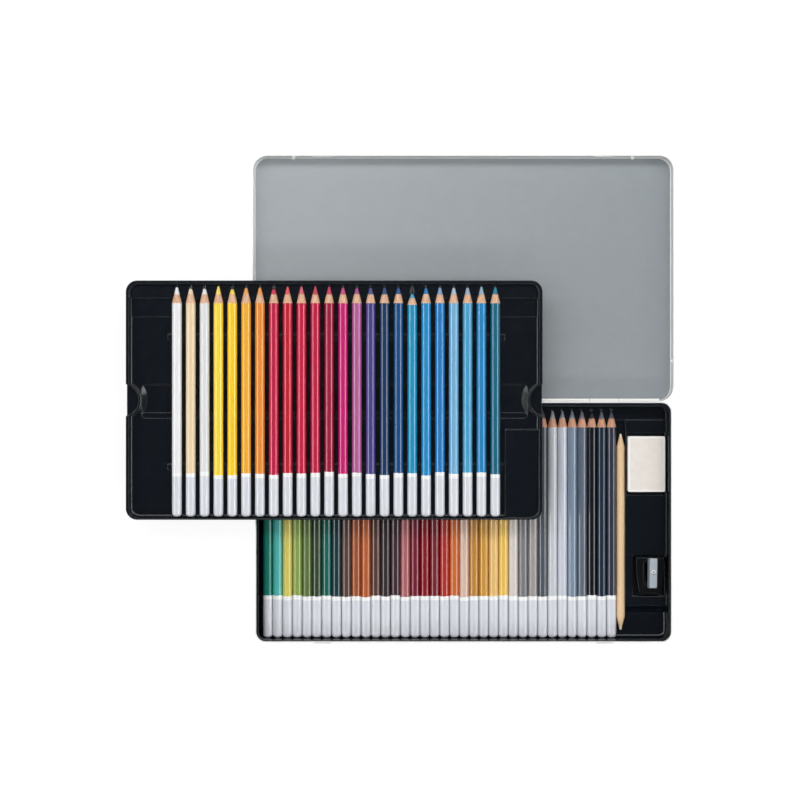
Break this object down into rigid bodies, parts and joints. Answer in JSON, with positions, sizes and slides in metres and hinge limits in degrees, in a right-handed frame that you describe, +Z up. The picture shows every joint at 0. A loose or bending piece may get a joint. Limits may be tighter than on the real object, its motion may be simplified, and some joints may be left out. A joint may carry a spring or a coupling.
{
  "type": "pencil tin",
  "caption": "Hinged flat tin of coloured pencils, open, with a formed lower insert, eraser, sharpener and paper stump, and a lift-out tray of pencils laid across the hinge.",
  "frame": {"origin": "centre of the underside of the tin's base", "axes": "+X to the right along the tin, across the pencils; +Y from the butts to the points, towards the hinge and the open lid; +Z up"},
  "size_m": [0.4201, 0.3764, 0.0338],
  "materials": {
    "tinplate": "clear-lacquered tinplate, satin",
    "hinge_steel": "drawn steel wire",
    "lid_lacquer": "grey-lacquered tinplate, satin",
    "black_formed_plastic": "black vacuum-formed sheet, semi-gloss",
    "lacquer_upper_white": "lacquered wooden barrel with a grey dipped end and a white ring",
    "lacquer_upper_ivory": "lacquered wooden barrel with a grey dipped end and a white ring",
    "lacquer_upper_pearl": "lacquered wooden barrel with a grey dipped end and a white ring",
    "lacquer_upper_lemon": "lacquered wooden barrel with a grey dipped end and a white ring",
    "lacquer_upper_yellow": "lacquered wooden barrel with a grey dipped end and a white ring",
    "lacquer_upper_golden_yellow": "lacquered wooden barrel with a grey dipped end and a white ring",
    "lacquer_upper_orange": "lacquered wooden barrel with a grey dipped end and a white ring",
    "lacquer_upper_crimson": "lacquered wooden barrel with a grey dipped end and a white ring",
    "lacquer_upper_scarlet": "lacquered wooden barrel with a grey dipped end and a white ring",
    "lacquer_upper_rose_red": "lacquered wooden barrel with a grey dipped end and a white ring",
    "lacquer_upper_carmine": "lacquered wooden barrel with a grey dipped end and a white ring",
    "lacquer_upper_dark_crimson": "lacquered wooden barrel with a grey dipped end and a white ring",
    "lacquer_upper_magenta": "lacquered wooden barrel with a grey dipped end and a white ring",
    "lacquer_upper_lilac": "lacquered wooden barrel with a grey dipped end and a white ring",
    "lacquer_upper_violet": "lacquered wooden barrel with a grey dipped end and a white ring",
    "lacquer_upper_navy": "lacquered wooden barrel with a grey dipped end and a white ring",
    "lacquer_upper_dark_blue": "lacquered wooden barrel with a grey dipped end and a white ring",
    "lacquer_upper_cyan": "lacquered wooden barrel with a grey dipped end and a white ring",
    "lacquer_upper_azure": "lacquered wooden barrel with a grey dipped end and a white ring",
    "lacquer_upper_mid_blue": "lacquered wooden barrel with a grey dipped end and a white ring",
    "lacquer_upper_light_blue": "lacquered wooden barrel with a grey dipped end and a white ring",
    "lacquer_upper_sky_blue": "lacquered wooden barrel with a grey dipped end and a white ring",
    "lacquer_upper_blue": "lacquered wooden barrel with a grey dipped end and a white ring",
    "lacquer_upper_teal": "lacquered wooden barrel with a grey dipped end and a white ring",
    "lacquer_lower_green": "lacquered wooden barrels, one shade each",
    "lacquer_lower_brown": "lacquered wooden barrels, one shade each",
    "lacquer_lower_red": "lacquered wooden barrels, one shade each",
    "lacquer_lower_ochre": "lacquered wooden barrels, one shade each",
    "lacquer_lower_warm_grey": "lacquered wooden barrels, one shade each",
    "lacquer_lower_silver_grey": "lacquered wooden barrel with a grey dipped end and a white ring",
    "lacquer_lower_pale_blue_grey": "lacquered wooden barrel with a grey dipped end and a white ring",
    "lacquer_lower_blue_grey": "lacquered wooden barrel with a grey dipped end and a white ring",
    "lacquer_lower_slate": "lacquered wooden barrel with a grey dipped end and a white ring",
    "lacquer_lower_black": "lacquered wooden barrel with a grey dipped end and a white ring",
    "lacquer_lower_ink_blue": "lacquered wooden barrel with a grey dipped end and a white ring",
    "lacquer_lower_dark_violet_grey": "lacquered wooden barrel with a grey dipped end and a white ring",
    "pastel_core": "dry pigment core, each in its pencil's own shade",
    "rolled_paper": "rolled and sanded paper",
    "white_eraser": "soft white vinyl, matt",
    "black_moulded_plastic": "black moulded plastic",
    "blade_steel": "ground steel"
  },
  "bodies": {
    "base": {"base_tin": "tinplate", "hinge_knuckles": "tinplate", "hinge_wire": "hinge_steel", "lower_insert": "black_formed_plastic", "lower_green_pencils": "lacquer_lower_green", "lower_brown_pencils": "lacquer_lower_brown", "lower_red_pencils": "lacquer_lower_red", "lower_ochre_pencils": "lacquer_lower_ochre", "lower_warm_grey_pencils": "lacquer_lower_warm_grey", "lower_pencil_cores": "pastel_core"},
    "lid": {"lid_shell": "lid_lacquer"},
    "tray": {"upper_tray": "black_formed_plastic"},
    "upper_pencils": {"upper_pencil_01_white": "lacquer_upper_white", "upper_pencil_02_ivory": "lacquer_upper_ivory", "upper_pencil_03_pearl": "lacquer_upper_pearl", "upper_pencil_04_lemon": "lacquer_upper_lemon", "upper_pencil_05_yellow": "lacquer_upper_yellow", "upper_pencil_06_golden_yellow": "lacquer_upper_golden_yellow", "upper_pencil_07_orange": "lacquer_upper_orange", "upper_pencil_08_crimson": "lacquer_upper_crimson", "upper_pencil_09_scarlet": "lacquer_upper_scarlet", "upper_pencil_10_rose_red": "lacquer_upper_rose_red", "upper_pencil_11_carmine": "lacquer_upper_carmine", "upper_pencil_12_dark_crimson": "lacquer_upper_dark_crimson", "upper_pencil_13_magenta": "lacquer_upper_magenta", "upper_pencil_14_lilac": "lacquer_upper_lilac", "upper_pencil_15_violet": "lacquer_upper_violet", "upper_pencil_16_navy": "lacquer_upper_navy", "upper_pencil_17_dark_blue": "lacquer_upper_dark_blue", "upper_pencil_18_cyan": "lacquer_upper_cyan", "upper_pencil_19_azure": "lacquer_upper_azure", "upper_pencil_20_mid_blue": "lacquer_upper_mid_blue", "upper_pencil_21_light_blue": "lacquer_upper_light_blue", "upper_pencil_22_sky_blue": "lacquer_upper_sky_blue", "upper_pencil_23_blue": "lacquer_upper_blue", "upper_pencil_24_teal": "lacquer_upper_teal", "upper_pencil_cores": "pastel_core"},
    "grey_pencils": {"lower_pencil_30_silver_grey": "lacquer_lower_silver_grey", "lower_pencil_31_pale_blue_grey": "lacquer_lower_pale_blue_grey", "lower_pencil_32_blue_grey": "lacquer_lower_blue_grey", "lower_pencil_33_slate": "lacquer_lower_slate", "lower_pencil_34_black": "lacquer_lower_black", "lower_pencil_35_ink_blue": "lacquer_lower_ink_blue", "lower_pencil_36_dark_violet_grey": "lacquer_lower_dark_violet_grey", "grey_pencil_cores": "pastel_core"},
    "stump": {"paper_stump": "rolled_paper"},
    "eraser": {"eraser": "white_eraser"},
    "sharpener": {"sharpener_body": "black_moulded_plastic", "sharpener_blade": "blade_steel", "sharpener_screw": "blade_steel"}
  },
  "joints": [
    {"name": "lid_hinge", "type": "hinge", "parent": "base", "child": "lid", "pos_m": [0, 0.0936, 0.013], "axis": [1, 0, 0], "range_deg": [0, 180]},
    {"name": "tray_lift", "type": "slide", "parent": "base", "child": "tray", "axis": [0, 0, 1], "range_m": [0, 0.503]},
    {"name": "upper_pencils_lift", "type": "slide", "parent": "tray", "child": "upper_pencils", "axis": [0, 0, 1], "range_m": [0, 0.06]},
    {"name": "grey_pencils_lift", "type": "slide", "parent": "base", "child": "grey_pencils", "axis": [0, 0, 1], "range_m": [0, 0.06]},
    {"name": "stump_lift", "type": "slide", "parent": "base", "child": "stump", "axis": [0, 0, 1], "range_m": [0, 0.06]},
    {"name": "eraser_lift", "type": "slide", "parent": "base", "child": "eraser", "axis": [0, 0, 1], "range_m": [0, 0.06]},
    {"name": "sharpener_lift", "type": "slide", "parent": "base", "child": "sharpener", "axis": [0, 0, 1], "range_m": [0, 0.06]}
  ],
  "couplings": [
    {"joint": "tray_lift", "follows": "lid_hinge", "m_per_rad": 0.16}
  ]
}
